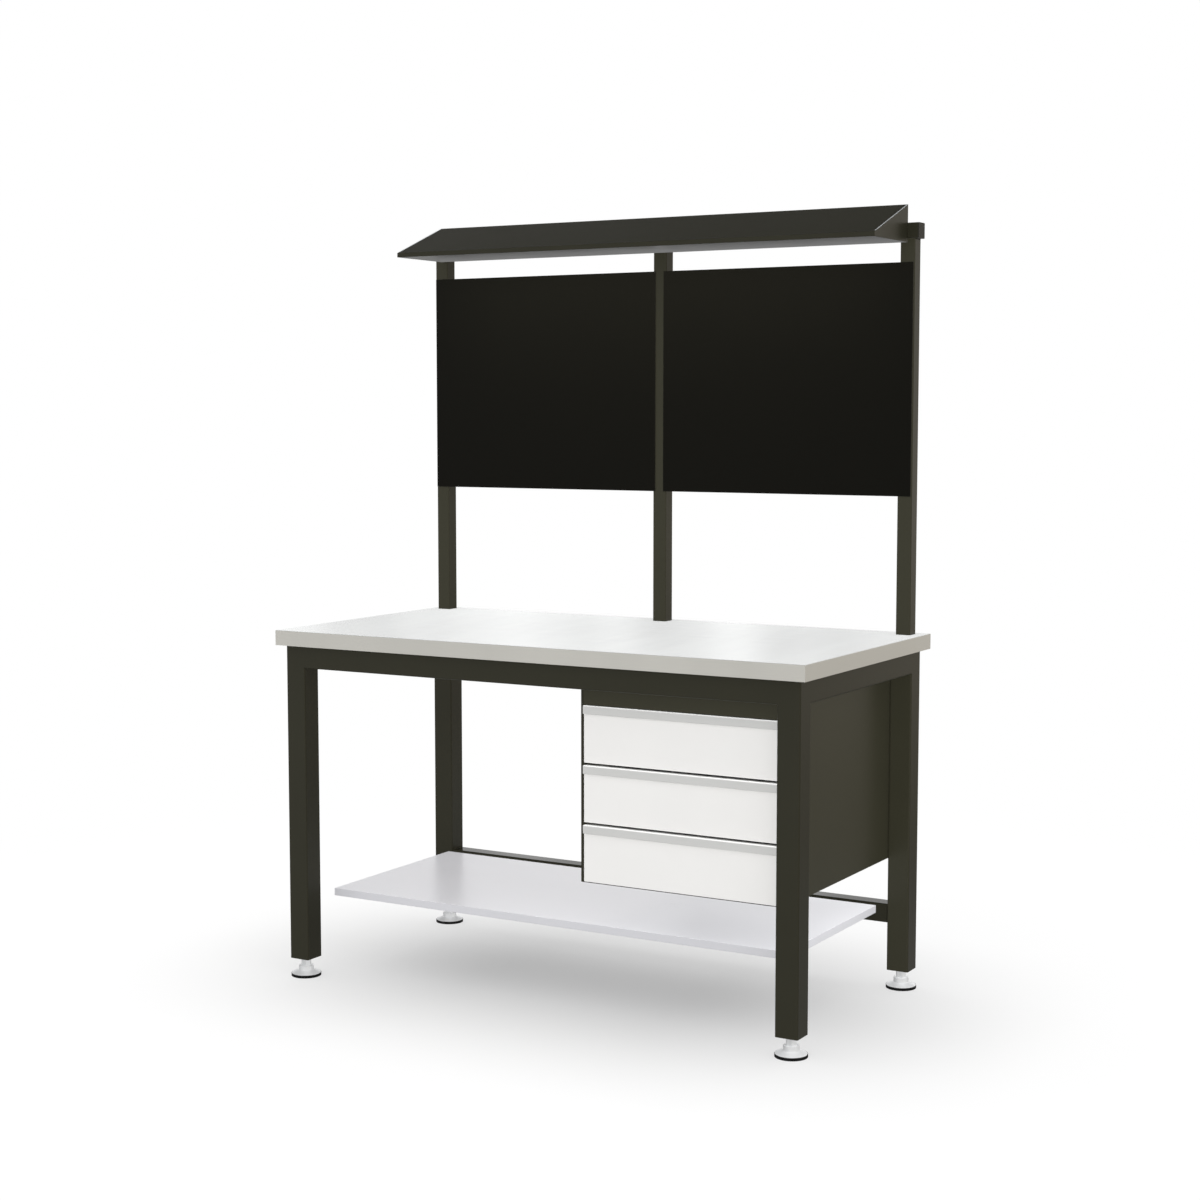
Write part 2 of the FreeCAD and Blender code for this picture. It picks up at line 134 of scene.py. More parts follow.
# Levelling foot, from the floor up
turned_sides = 72
rim_radius = 39 * mm
rim_chamfer = 0.8 * mm
boss_radius = 19.5 * mm
cone_top = 16 * mm
foot_fillet = 1 * mm
hex_foot = 28 * mm
hex_flats = 24 * mm
spindle_radius = 8 * mm
spindle_chamfer = 1 * mm
thread_depth = 0.95 * mm
thread_pitch = 2 * mm
thread_length = 60 * mm
thread_steps = 36
thread_least = 0.02
pad_rounding = 0.7 * mm
pad_groove_depth = 0.6 * mm
pad_grooves = (14 * mm, 22 * mm, 30 * mm)
pad_groove_width = 3 * mm
pad_groove_draft = 0.5 * mm

# Ridge of the thread: up in pitches, out in thread depths
thread_section = ((-0.46, -0.1), (-0.07, 1.0), (0.07, 1.0), (0.46, -0.1))

# Fasteners
hexagon_face_share = 0.94
hexagon_chamfer = math.radians(30)
hexagon_chamfer_steps = 5
bolt_chamfer = 0.6 * mm
lock_bolt_flats = 13 * mm
lock_bolt_head = 5.3 * mm
lock_bolt_radius = 4 * mm
top_screw_flats = 10 * mm
top_screw_head = 4 * mm
top_screw_radius = 3 * mm
bracket_height = 40 * mm
bracket_sheet = 2 * mm
bracket_leg_on_panel = 28 * mm
button_radius = 4.75 * mm
button_rim = 0.7 * mm
button_shoulder_radius = 3.42 * mm
button_shoulder_height = 2.3375 * mm
button_crown_radius = 2.25 * mm
button_height = 2.75 * mm
button_rounding = 1.2 * mm
button_socket = 3 * mm
button_socket_depth = 1.6 * mm
button_socket_cone = 0.5 * mm
nut_flats = 8 * mm
nut_height = 4 * mm
stud_radius = 2.5 * mm
stud_end = 1.8 * mm
stud_chamfer = 0.5 * mm

# Welds
weld_size = 3 * mm
weld_ripple = 2.2 * mm
weld_ripple_depth = 0.14
weld_ripple_steps = 5
weld_least_steps = 8
weld_arc_steps = 5
weld_bulge = 0.6
weld_end_share = 0.25
weld_end_gap = 4 * mm
tube_corner = 4 * mm
tube_corner_steps = 6
flank_lap = 1.2 * mm
hood_lip = 12 * mm
# Light strip along each hip of the hood: a painted highlight on the edge where end plate and slope meet
seam_width = 3.2 * mm
seam_height = 0.5 * mm
seam_arc_steps = 6
seam_start = 0.03
seam_end = 0.985


def screen_colour(red, green, blue):
    """Linear colour of three screen values from 0 to 255."""
    shares = [value / 255 for value in (red, green, blue)]
    return (*[s / 12.92 if s <= 0.04045 else ((s + 0.055) / 1.055) ** 2.4 for s in shares], 1.0)


def shaded(tone, amount):
    """The same colour, lighter or darker by a factor."""
    return (*[value * amount for value in tone[:3]], 1.0)


class Signal:
    """A shader socket that takes part in sums: each operator adds one Math node."""

    def __init__(self, finish, socket):
        self.finish = finish
        self.socket = socket

    def maths(self, operation, *values):
        """One Math node on numbers and signals."""
        return self.finish.add("ShaderNodeMath", {"operation": operation}, dict(enumerate(values)))

    def __add__(self, other):
        return self.maths("ADD", self, other)

    def __radd__(self, other):
        return self.maths("ADD", other, self)

    def __sub__(self, other):
        return self.maths("SUBTRACT", self, other)

    def __rsub__(self, other):
        return self.maths("SUBTRACT", other, self)

    def __mul__(self, other):
        return self.maths("MULTIPLY", self, other)

    def __rmul__(self, other):
        return self.maths("MULTIPLY", other, self)

    def __pow__(self, other):
        return self.maths("POWER", self, other)

    def __abs__(self):
        return self.maths("ABSOLUTE", self)

    def limited(self):
        """The signal held between 0 and 1."""
        return self.finish.add("ShaderNodeClamp", None, {0: self})

    def eased(self, low, high):
        """0 below low, 1 above high and a smooth rise between them."""
        settings = {"interpolation_type": "SMOOTHSTEP"}
        return self.finish.add("ShaderNodeMapRange", settings, {0: self, 1: low, 2: high})

    def swing(self, reach):
        """A cloudy signal's swing about its middle, which is a half."""
        return (self - 0.5) * reach

    def mixed(self, other, share):
        """This signal with a share of another in it."""
        return self * (1 - share) + other * share


class Finish:
    """The node tree of one surface finish, or of the room round the bench."""

    def __init__(self, owner):
        owner.use_nodes = True
        self.owner = owner
        self.tree = owner.node_tree
        self.tree.nodes.clear()

    def add(self, kind, settings=None, sockets=None, out=0):
        """One node: its settings first, then the values or links of its sockets."""
        node = self.tree.nodes.new(kind)
        for name, value in (settings or {}).items():
            setattr(node, name, value)
        for name, value in (sockets or {}).items():
            if isinstance(value, Signal):
                self.tree.links.new(value.socket, node.inputs[name])
            else:
                node.inputs[name].default_value = value
        return Signal(self, node.outputs[out]) if node.outputs else None

    def axes(self, vector):
        """The three parts of a vector."""
        first = self.add("ShaderNodeSeparateXYZ", None, {0: vector})
        return [Signal(self, socket) for socket in first.socket.node.outputs]

    def vector(self, x, y, z):
        """A vector of three parts."""
        return self.add("ShaderNodeCombineXYZ", None, {0: x, 1: y, 2: z})

    def place(self):
        """Where a point is on its piece."""
        return self.add("ShaderNodeTexCoord", None, None, "Object")

    def from_axis(self):
        """How far a point is from the upright axis of its piece."""
        x, y, _ = self.axes(self.place())
        return (x * x + y * y) ** 0.5

    def facing(self):
        """The three parts of the direction that a face looks in."""
        return self.axes(self.add("ShaderNodeNewGeometry", None, None, "True Normal"))

    def facing_up(self):
        """1 on faces that look straight up, 0 on upright ones, -1 on undersides."""
        return self.facing()[2]

    def brushed_place(self, along_per_metre, across_per_metre):
        """Coordinates of brushing that runs along the sheet and over its folded edges."""
        x, y, z = self.axes(self.place())
        facing_x, facing_y, _ = [abs(part) for part in self.facing()]
        along = x * (1 - facing_x) + z * facing_x
        across = y + z * facing_y
        return self.vector(along * along_per_metre, across * across_per_metre, 0.0)

    def noise(self, per_metre=1.0, detail=2.0, at=None):
        """Cloudy signal about a half, with so many lumps to the metre."""
        sockets = {"Vector": at or self.place(), "Scale": per_metre, "Detail": detail}
        return self.add("ShaderNodeTexNoise", None, sockets)

    def cells(self, per_metre):
        """Three values from 0 to 1 for each cell of a surface that has so many to the metre."""
        sockets = {"Vector": self.place(), "Scale": per_metre}
        return self.axes(self.add("ShaderNodeTexVoronoi", {"feature": "F1"}, sockets, "Color"))

    def blend(self, share, first, second):
        """Colour that goes from first to second as share goes from 0 to 1."""
        return self.add("ShaderNodeMix", {"data_type": "RGBA"}, {0: share, 6: first, 7: second}, 2)

    def shades(self, share, tone, dark, light):
        """Colour that goes from a dark to a light shade of a tone as share goes from 0 to 1."""
        return self.blend(share, shaded(tone, dark), shaded(tone, light))

    def bump(self, height, depth):
        """Relief whose height follows a signal."""
        sockets = {"Height": height, "Distance": depth, "Strength": 1.0}
        return self.add("ShaderNodeBump", None, sockets, "Normal")

    def rays(self):
        """Rays that mirror the surface, and rays that show it plainly to the camera."""
        kinds = self.add("ShaderNodeLightPath").socket.node.outputs
        mirroring = Signal(self, kinds["Is Glossy Ray"])
        straight = Signal(self, kinds["Is Camera Ray"])
        through = Signal(self, kinds["Is Transmission Ray"])
        return mirroring, (straight + through).limited()

    def surface(self, sockets):
        """The finished surface, as the material's output."""
        shader = self.add("ShaderNodeBsdfPrincipled", None, sockets)
        self.add("ShaderNodeOutputMaterial", None, {"Surface": shader})
        return self.owner


def new_finish(name):
    """An empty finish, as a new material."""
    return Finish(bpy.data.materials.new(name))


def powder_coat(name, tone, gloss_loss, shine, mottle, levelled=0.0):
    """Baked powder paint: orange peel, faint clouds, and more gloss where it levelled out flat."""
    finish = new_finish(name)
    orange_peel = finish.noise(per_metre=750, detail=1.0)
    cloud = finish.noise(per_metre=7, detail=3.0)
    speck = finish.noise(per_metre=2600, detail=0.0)
    mottled = cloud.mixed(speck, share=0.3)
    flat = finish.facing_up().eased(*level_face_rise)
    return finish.surface({
        "Base Color": finish.shades(mottled, tone, dark=1 - mottle, light=1 + mottle),
        "Roughness": gloss_loss - flat * levelled + cloud.swing(0.06) + orange_peel.swing(0.08),
        "Specular IOR Level": shine,
        "Normal": finish.bump(orange_peel, depth=0.03 * mm),
    })


def worktop_steel(name, lit_top_tone, shaded_edge_tone, metal, gloss_loss, polished):
    """Stainless sheet brushed along its length: a top polished by wiping, with painted light on the top
    and painted shade on the duller folded edges.
    """
    finish = new_finish(name)
    lines = finish.noise(at=finish.brushed_place(along_per_metre=5, across_per_metre=1500))
    x, y, _ = finish.axes(finish.place())
    along = x * wiping_along_per_metre + y * wiping_slant
    wiping = finish.noise(detail=3.0, at=finish.vector(along, y * wiping_across_per_metre, 0.0))
    # Share of facing up: upper faces take the lighter tone as painted light, folded edges the darker one
    # as painted shade; it also makes the top glossier
    top_light_and_polish = finish.facing_up().eased(*upper_face_rise)
    tint = lines.mixed(wiping, share=0.65).eased(*wiping_edge)
    top = finish.shades(tint, lit_top_tone, dark=0.96, light=1.11)
    edge = finish.shades(tint, shaded_edge_tone, dark=0.96, light=1.04)
    return finish.surface({
        "Base Color": finish.blend(top_light_and_polish, edge, top),
        "Metallic": metal,
        "Roughness": gloss_loss - top_light_and_polish * polished + lines.swing(0.16) + wiping.swing(0.1),
        "Normal": finish.bump(lines, depth=0.006 * mm),
    })


def satin_aluminium(name, tone, highlight_tone, metal, gloss_loss):
    """Anodised strip drawn along its length, with a painted highlight in a near-white tone on its upward
    faces.
    """
    finish = new_finish(name)
    lines = finish.noise(at=finish.brushed_place(along_per_metre=4, across_per_metre=2200))
    cloud = finish.noise(per_metre=9)
    # Upward faces take the near-white tone as a painted highlight
    top_highlight = finish.facing_up().eased(*upper_face_rise)
    plain = finish.shades(lines.mixed(cloud, share=0.4), tone, dark=0.94, light=1.06)
    return finish.surface({
        "Base Color": finish.blend(top_highlight, plain, highlight_tone),
        "Metallic": metal,
        "Roughness": gloss_loss + lines.swing(0.2),
        "Normal": finish.bump(lines, depth=0.004 * mm),
    })


def spangled_zinc(name, tone, metal, gloss_loss):
    """Hot-dipped sheet: crystals that differ in brightness and gloss."""
    finish = new_finish(name)
    crystal, _, _ = finish.cells(per_metre=90)
    fine = finish.noise(per_metre=900)
    return finish.surface({
        "Base Color": finish.shades(crystal.mixed(fine, share=0.2), tone, dark=0.8, light=1.0),
        "Metallic": metal,
        "Roughness": gloss_loss + crystal.swing(0.16) + fine.swing(0.1),
        "Normal": finish.bump(fine, depth=0.02 * mm),
    })


def plated_zinc(name, tone, metal, gloss_loss, marks_per_metre):
    """Bright zinc plate: turning marks round the axis and a faint cloud."""
    finish = new_finish(name)
    height = finish.axes(finish.place())[2]
    across = finish.vector(finish.from_axis() * marks_per_metre, height * marks_per_metre, 0.0)
    turning = finish.noise(detail=1.0, at=across)
    cloud = finish.noise(per_metre=60, detail=3.0)
    return finish.surface({
        "Base Color": finish.shades(cloud, tone, dark=0.9, light=1.0),
        "Metallic": metal,
        "Roughness": gloss_loss + turning.swing(0.2) + cloud.swing(0.15),
        "Normal": finish.bump(turning, depth=0.01 * mm),
    })


def moulded(name, tone, grain_per_metre, gloss_loss, shine):
    """Rubber or plastic with the grain of its mould and a little dust."""
    finish = new_finish(name)
    grain = finish.noise(grain_per_metre, detail=3.0)
    dust = finish.noise(per_metre=45, detail=4.0)
    return finish.surface({
        "Base Color": finish.shades(dust.eased(*dust_edge), tone, dark=1.0, light=1.8),
        "Roughness": gloss_loss + dust.swing(0.2),
        "Specular IOR Level": shine,
        "Normal": finish.bump(grain, depth=0.06 * mm),
    })


def chip_board(name, dark_tone, light_tone, gloss_loss, shine):
    """Raw particle board: pressed chips of several shades."""
    finish = new_finish(name)
    _, chip, _ = finish.cells(per_metre=260)
    dust = finish.noise(per_metre=1500, detail=3.0)
    shade = chip.mixed(dust, share=0.4)
    return finish.surface({
        "Base Color": finish.blend(shade, dark_tone, light_tone),
        "Roughness": gloss_loss + dust.swing(0.2),
        "Specular IOR Level": shine,
        "Normal": finish.bump(shade, depth=0.2 * mm),
    })


# One finish for each of the record's material slots
finishes = {
    "frame_paint": powder_coat("olive_black_paint", screen_colour(45, 44, 34),
                               gloss_loss=0.31, shine=0.17, mottle=0.10, levelled=0.20),
    "panel_paint": powder_coat("panel_black_paint", screen_colour(22, 21, 16),
                               gloss_loss=0.50, shine=0.08, mottle=0.10),
    "shelf_paint": powder_coat("light_grey_paint", screen_colour(205, 205, 209),
                               gloss_loss=0.30, shine=0.5, mottle=0.03),
    "drawer_paint": powder_coat("white_paint", screen_colour(232, 231, 229),
                                gloss_loss=0.38, shine=0.35, mottle=0.03),
    # The lighter top tone is painted light, the darker edge tone painted shade on the folded edges
    "stainless_sheet": worktop_steel("brushed_stainless",
                                     screen_colour(237, 239, 238), screen_colour(201, 199, 192),
                                     metal=0.4, gloss_loss=0.40, polished=0.22),
    # The second, near-white tone is a painted highlight along the handles' tops
    "handle_aluminium": satin_aluminium("satin_aluminium",
                                        screen_colour(206, 206, 204), screen_colour(248, 248, 247),
                                        metal=0.3, gloss_loss=0.42),
    "zinc_sheet": spangled_zinc("spangled_zinc", screen_colour(214, 217, 220),
                                metal=0.3, gloss_loss=0.44),
    "zinc_steel": plated_zinc("bright_zinc", screen_colour(238, 239, 240),
                              metal=0.5, gloss_loss=0.40, marks_per_metre=2400),
    "foot_rubber": moulded("black_rubber", screen_colour(12, 12, 12),
                           grain_per_metre=1400, gloss_loss=0.72, shine=0.3),
    "cap_plastic": moulded("dark_plastic", screen_colour(44, 43, 38),
                           grain_per_metre=2200, gloss_loss=0.55, shine=0.3),
    "core_board": chip_board("particle_board",
                             screen_colour(142, 112, 78), screen_colour(206, 178, 136),
                             gloss_loss=0.85, shine=0.2),
}


def dress(piece, slot):
    """Gives a piece the finish of one of the record's material slots."""
    piece.data.materials.clear()
    piece.data.materials.append(finishes[slot])


def ease_edges(piece, radius):
    """Takes the folded and cut edges of a sheet piece off by a small radius."""
    joined = piece.modifiers.new("joined_faces", "WELD")
    joined.merge_threshold = edge_joined_within
    plain = piece.modifiers.new("plain_faces", "DECIMATE")
    plain.decimate_type = "DISSOLVE"
    plain.angle_limit = edge_plain_angle
    bevel = piece.modifiers.new("eased_edges", "BEVEL")
    bevel.width = radius
    bevel.segments = edge_segments
    bevel.limit_method = "ANGLE"
    bevel.angle_limit = edge_fold_angle
    piece.modifiers.new("even_shading", "WEIGHTED_NORMAL")


def new_piece(name, mesh, slot, body, place=(0, 0, 0), replaced=()):
    """Puts a made mesh in the frame: its finish, the body it rides on and the nodes it stands for."""
    piece = bpy.data.objects.new(name, mesh)
    piece.location = place
    bpy.context.scene.collection.objects.link(piece)
    dress(piece, slot)
    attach(piece, body)
    if replaced:
        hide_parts(*replaced)
    return piece


def finished_mesh(name, builder, smooth_angle=35):
    """Mesh of a filled builder, smooth over gentle edges and crisp over sharp ones."""
    bmesh.ops.recalc_face_normals(builder, faces=builder.faces)
    for face in builder.faces:
        face.smooth = True
    for edge in builder.edges:
        edge.smooth = edge.calc_face_angle(math.pi) < math.radians(smooth_angle)
    mesh = bpy.data.meshes.new(name)
    builder.to_mesh(mesh)
    builder.free()
    return mesh


def rounded(outline, radius, steps=4, most=0.45):
    """An open outline whose inner corners are traded for curves, up to a share of their sides."""
    points = [Vector(point) for point in outline]
    result = [points[0]]
    for before, corner, after in zip(points, points[1:], points[2:]):
        reach = min(radius, (before - corner).length * most, (after - corner).length * most)
        start = corner + (before - corner).normalized() * reach
        end = corner + (after - corner).normalized() * reach
        for step in range(steps + 1):
            t = step / steps
            result.append((1 - t) ** 2 * start + 2 * t * (1 - t) * corner + t ** 2 * end)
    result.append(points[-1])
    return [(point.x, point.y) for point in result]


def hexagon_reach(flats, angle):
    """Distance from a hexagon's middle to its side, at an angle from a corner."""
    return flats / 2 / math.cos(angle % (math.pi / 3) - math.pi / 6)


def hexagon_rings(flats, low, high, chamfer_low=True, chamfer_high=True):
    """Rings of a hexagon whose corners are turned off at its ends."""
    face = flats / 2 * hexagon_face_share
    corner = hexagon_reach(flats, 0.0)
    rise = (corner - face) * math.tan(hexagon_chamfer)

    def turned(share):
        """Outline that is turned off at a share of the way from the face out to the corners."""
        limit = face + (corner - face) * share
        return lambda angle: min(hexagon_reach(flats, angle), limit)

    shares = [step / hexagon_chamfer_steps for step in range(hexagon_chamfer_steps + 1)]
    lower = [(turned(1), low)]
    upper = [(turned(1), high)]
    if chamfer_low:
        lower = [(turned(share), low + rise * share) for share in shares]
    if chamfer_high:
        upper = [(turned(share), high - rise * share) for share in reversed(shares)]
    return lower + upper


def lathe(builder, rings, turn=None):
    """Closed skin over rings stacked along an axis; a ring of no radius is a point on it."""
    angles = [2 * math.pi * side / turned_sides for side in range(turned_sides)]
    loops = []
    for radius, height in rings:
        if callable(radius):
            reaches = [radius(angle) for angle in angles]
        elif radius > 0:
            reaches = [radius] * turned_sides
        else:
            reaches = [0]
        loop = []
        for angle, reach in zip(angles, reaches):
            corner = Vector((reach * math.cos(angle), reach * math.sin(angle), height))
            loop.append(builder.verts.new(turn(corner) if turn else corner))
        loops.append(loop)
    for low, high in zip(loops, loops[1:]):
        for side in range(turned_sides):
            following = (side + 1) % turned_sides
            corners = [low[side % len(low)], low[following % len(low)],
                       high[following % len(high)], high[side % len(high)]]
            builder.faces.new(list(dict.fromkeys(corners)))


def skin(builder, loops):
    """Closed skin over loops of equally many corners, with the first and the last loop filled."""
    for first, second in zip(loops, loops[1:]):
        for i in range(len(first)):
            j = (i + 1) % len(first)
            builder.faces.new([first[i], first[j], second[j], second[i]])
    builder.faces.new(loops[0])
    builder.faces.new(loops[-1])


def foot_mesh(name, low, hex_top, high):
    """Turned foot on its own axis: cone, boss, spanner hexagon and spindle with its thread's root."""
    outline = [(0, low), (rim_radius, low), (rim_radius - rim_chamfer, low + rim_chamfer),
               (boss_radius, cone_top), (boss_radius, hex_foot), (hex_flats / 2, hex_foot)]
    root = spindle_radius - thread_depth
    threaded_top = hex_top + thread_length
    rings = rounded(outline, foot_fillet)
    rings += hexagon_rings(hex_flats, hex_foot, hex_top, chamfer_low=False)
    rings += [(spindle_radius, hex_top), (root, hex_top + thread_depth), (root, threaded_top)]
    rings += [(spindle_radius, threaded_top + thread_depth), (spindle_radius, high - spindle_chamfer)]
    rings += [(spindle_radius - spindle_chamfer, high), (0, high)]
    builder = bmesh.new()
    lathe(builder, rings)
    return finished_mesh(name, builder)


def thread_mesh(name, hex_top):
    """Ridge of the spindle's thread, wound up from the spanner hexagon and drawn out at both ends."""
    builder = bmesh.new()
    start = hex_top + thread_pitch
    turns = (thread_length - 2 * thread_pitch) / thread_pitch
    steps = int(turns * thread_steps)
    root = spindle_radius - thread_depth
    loops = []
    for step in range(steps + 1):
        angle = 2 * math.pi * step / thread_steps
        height = start + thread_pitch * step / thread_steps
        fullness = max(thread_least, min(1, step / thread_steps, (steps - step) / thread_steps))
        loop = []
        for up, out in thread_section:
            reach = root + out * thread_depth * (fullness if out > 0 else 1)
            place = (reach * math.cos(angle), reach * math.sin(angle), height + up * thread_pitch)
            loop.append(builder.verts.new(place))
        loops.append(loop)
    skin(builder, loops)
    return finished_mesh(name, builder)


def pad_mesh(name, radius, height):
    """Moulded rubber pad: softened edges, and shallow rings underneath to grip the floor."""
    builder = bmesh.new()
    outline = [(0, 0)]
    for inner in pad_grooves:
        outer = inner + pad_groove_width
        outline += [(inner, 0), (inner + pad_groove_draft, pad_groove_depth)]
        outline += [(outer - pad_groove_draft, pad_groove_depth), (outer, 0)]
    outline += [(radius, 0), (radius, height), (0, height)]
    lathe(builder, rounded(outline, pad_rounding))
    return finished_mesh(name, builder)


def hexagon_bolt(builder, flats, head, radius, length, turn):
    """Hexagon head with turned corners, then the shank."""
    end = head + length
    rings = [(0, 0)] + hexagon_rings(flats, 0, head, chamfer_high=False)
    rings += [(radius, head), (radius, end - bolt_chamfer), (radius - bolt_chamfer, end), (0, end)]
    lathe(builder, rings, turn)


def button_screw(builder, turn):
    """Low domed head with a hexagon socket."""
    outline = [(0, 0), (button_radius, 0), (button_radius, button_rim),
               (button_shoulder_radius, button_shoulder_height), (button_crown_radius, button_height)]

    def socket(angle):
        """Outline of the hexagon socket."""
        return hexagon_reach(button_socket, angle)

    floor = button_height - button_socket_depth
    rings = rounded(outline, button_rounding)
    rings += [(socket, button_height), (socket, floor), (0, floor - button_socket_cone)]
    lathe(builder, rings, turn)


def stud_nut(builder, turn):
    """Nut on the end of a welded stud."""
    end = nut_height + stud_end
    rings = [(0, 0)] + hexagon_rings(nut_flats, 0, nut_height)
    rings += [(stud_radius, nut_height), (stud_radius, end - stud_chamfer)]
    rings += [(stud_radius - stud_chamfer, end), (0, end)]
    lathe(builder, rings, turn)


def pointing(place, direction):
    """Takes a piece made along +Z to a place, with its axis turned to a direction."""
    turn = Vector((0, 0, 1)).rotation_difference(Vector(direction))
    return lambda point: turn @ point + Vector(place)


def weld_bead(builder, start, end, first_face, second_face):
    """Rippled bead along an inner corner; the two directions lead out of it over the joined faces."""
    start, end = Vector(start), Vector(end)
    first_face, second_face = Vector(first_face), Vector(second_face)
    length = (end - start).length
    steps = max(weld_least_steps, round(length / weld_ripple * weld_ripple_steps))
    arc = [math.pi / 2 * step / weld_arc_steps for step in range(weld_arc_steps + 1)]
    loops = []
    for step in range(steps + 1):
        along = length * step / steps
        ripple = 1 - weld_ripple_depth * math.sin(math.pi * along / weld_ripple) ** 2
        tail = min(1.0, weld_end_share + min(along, length - along) / weld_size)
        size = weld_size * ripple * tail
        centre = start + (end - start) * step / steps
        corners = [centre]
        for angle in arc:
            out = first_face * math.cos(angle) + second_face * math.sin(angle)
            corners.append(centre + out * size / (math.cos(angle) + math.sin(angle)) ** weld_bulge)
        loops.append([builder.verts.new(corner) for corner in corners])
    skin(builder, loops)


def corner_fill(builder, corner, out_x, out_y, low, high, lap=0.0):
    """Ground weld in the groove beside a tube's round corner, lapping the piece next to it a little."""
    corner = Vector(corner)
    centre = corner + Vector((out_x, out_y)) * tube_corner
    arc = [math.pi / 2 * step / tube_corner_steps for step in range(tube_corner_steps + 1)]
    outline = [centre - Vector((out_x * math.sin(a), out_y * math.cos(a))) * tube_corner for a in arc]
    if lap:
        outline.append(outline[-1] - Vector((out_x * lap, 0)))
    outline.append(corner - Vector((out_x * lap, 0)))
    skin(builder, [[builder.verts.new((*point, z)) for point in outline] for z in (low, high)])


def hip_highlight_strip(builder, start, end):
    """Slim light strip along a hip of the hood, a little proud of both sheets, as a painted highlight on
    that edge.
    """
    across = Vector((1, 0, 0))
    up = (end - start).cross(across).normalized()
    up = up if up.z > 0 else -up
    arc = [math.pi * step / seam_arc_steps for step in range(seam_arc_steps + 1)]
    section = [across * math.cos(a) * seam_width / 2 + up * math.sin(a) * seam_height for a in arc]
    skin(builder, [[builder.verts.new(place + point) for point in section] for place in (start, end)])


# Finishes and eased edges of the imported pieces
for part in frame["record"]["subparts"]:
    dress(nodes[part["node"]], part["material_slot"])

eased_sheets = {
    0.60 * mm: ["shelf_tray", "shelf_arms", "worktop_lugs"],
    0.55 * mm: ["drawer_%s_front" % drawer for drawer in drawers],
    0.50 * mm: ["drawer_%s_handle" % drawer for drawer in drawers] + [
        "panel_left", "panel_right", "panel_brackets",
        "hood_shell", "hood_bottom_panel", "hood_end_plate_left", "hood_end_plate_right",
        "cabinet_side_left", "cabinet_side_right", "cabinet_fascia",
    ],
    0.40 * mm: ["cabinet_floor", "cabinet_back"],
    0.35 * mm: ["drawer_%s_box" % drawer for drawer in drawers],
}
for radius, sheets in eased_sheets.items():
    for node in sheets:
        ease_edges(nodes[node], radius)

# Feet
leg_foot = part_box("leg_front_left")[0].z
for end in ("front", "rear"):
    for side in ("left", "right"):
        name = "%s_%s" % (end, side)
        body = "levelling_foot_" + name
        low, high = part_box("foot_" + name)
        axis = ((low.x + high.x) / 2, (low.y + high.y) / 2, 0)
        foot = foot_mesh("turned_foot_" + name, low.z, leg_foot, high.z)
        new_piece("turned_foot_" + name, foot, "zinc_steel", body, axis, ["foot_" + name])
        thread = thread_mesh("foot_thread_" + name, leg_foot)
        new_piece("foot_thread_" + name, thread, "zinc_steel", body, axis)
        pad_low, pad_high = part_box("foot_pad_" + name)
        pad = pad_mesh("moulded_pad_" + name, (pad_high.x - pad_low.x) / 2, pad_high.z)
        new_piece("moulded_pad_" + name, pad, "foot_rubber", body, axis, ["foot_pad_" + name])

# Bolts that lock the uprights on their spigots, put in from behind
bolts = bmesh.new()
bolt_low, bolt_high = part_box("upright_lock_bolts")
bolt_height = (bolt_low.z + bolt_high.z) / 2
bolt_length = bolt_high.y - bolt_low.y - lock_bolt_head
upright_boxes = [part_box("upright_" + place) for place in upright_places]
for low, high in upright_boxes:
    turn = pointing(((low.x + high.x) / 2, bolt_high.y, bolt_height), (0, -1, 0))
    hexagon_bolt(bolts, lock_bolt_flats, lock_bolt_head, lock_bolt_radius, bolt_length, turn)
lock_bolts = new_piece("lock_bolts", finished_mesh("lock_bolts", bolts), "zinc_steel", "bench",
                       replaced=["upright_lock_bolts"])

# Screws up through the lugs into the worktop
screws = bmesh.new()
screw_low, screw_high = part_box("worktop_screws")
screw_length = screw_high.z - screw_low.z - top_screw_head
head_reach = hexagon_reach(top_screw_flats, 0.0)
for x in (screw_low.x + head_reach, screw_high.x - head_reach):
    for y in (screw_low.y + top_screw_flats / 2, screw_high.y - top_screw_flats / 2):
        turn = pointing((x, y, screw_low.z), (0, 0, 1))
        hexagon_bolt(screws, top_screw_flats, top_screw_head, top_screw_radius, screw_length, turn)
new_piece("top_screws", finished_mesh("top_screws", screws), "zinc_steel", "bench",
          replaced=["worktop_screws"])

# Screws and nuts of the panel brackets, which sit on the faces of the uprights
button_screws = bmesh.new()
nuts = bmesh.new()
bracket_low, bracket_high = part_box("panel_brackets")
bracket_back = bracket_low.y + bracket_sheet
left_box, middle_box, right_box = upright_boxes
upright_middle_y = (left_box[0].y + left_box[1].y) / 2
bracket_faces = [(left_box[1].x, 1), (middle_box[0].x, -1), (middle_box[1].x, 1), (right_box[0].x, -1)]
for z in (bracket_low.z + bracket_height / 2, bracket_high.z - bracket_height / 2):
    for face, inward in bracket_faces:
        screw_place = (face + inward * bracket_sheet, upright_middle_y, z)
        button_screw(button_screws, pointing(screw_place, (inward, 0, 0)))
        stud_x = face + inward * (bracket_sheet + bracket_leg_on_panel) / 2
        stud_nut(nuts, pointing((stud_x, bracket_back, z), (0, 1, 0)))
new_piece("bracket_screws", finished_mesh("bracket_screws", button_screws), "zinc_steel", "bench")
new_piece("bracket_nuts", finished_mesh("bracket_nuts", nuts), "zinc_steel", "bench")

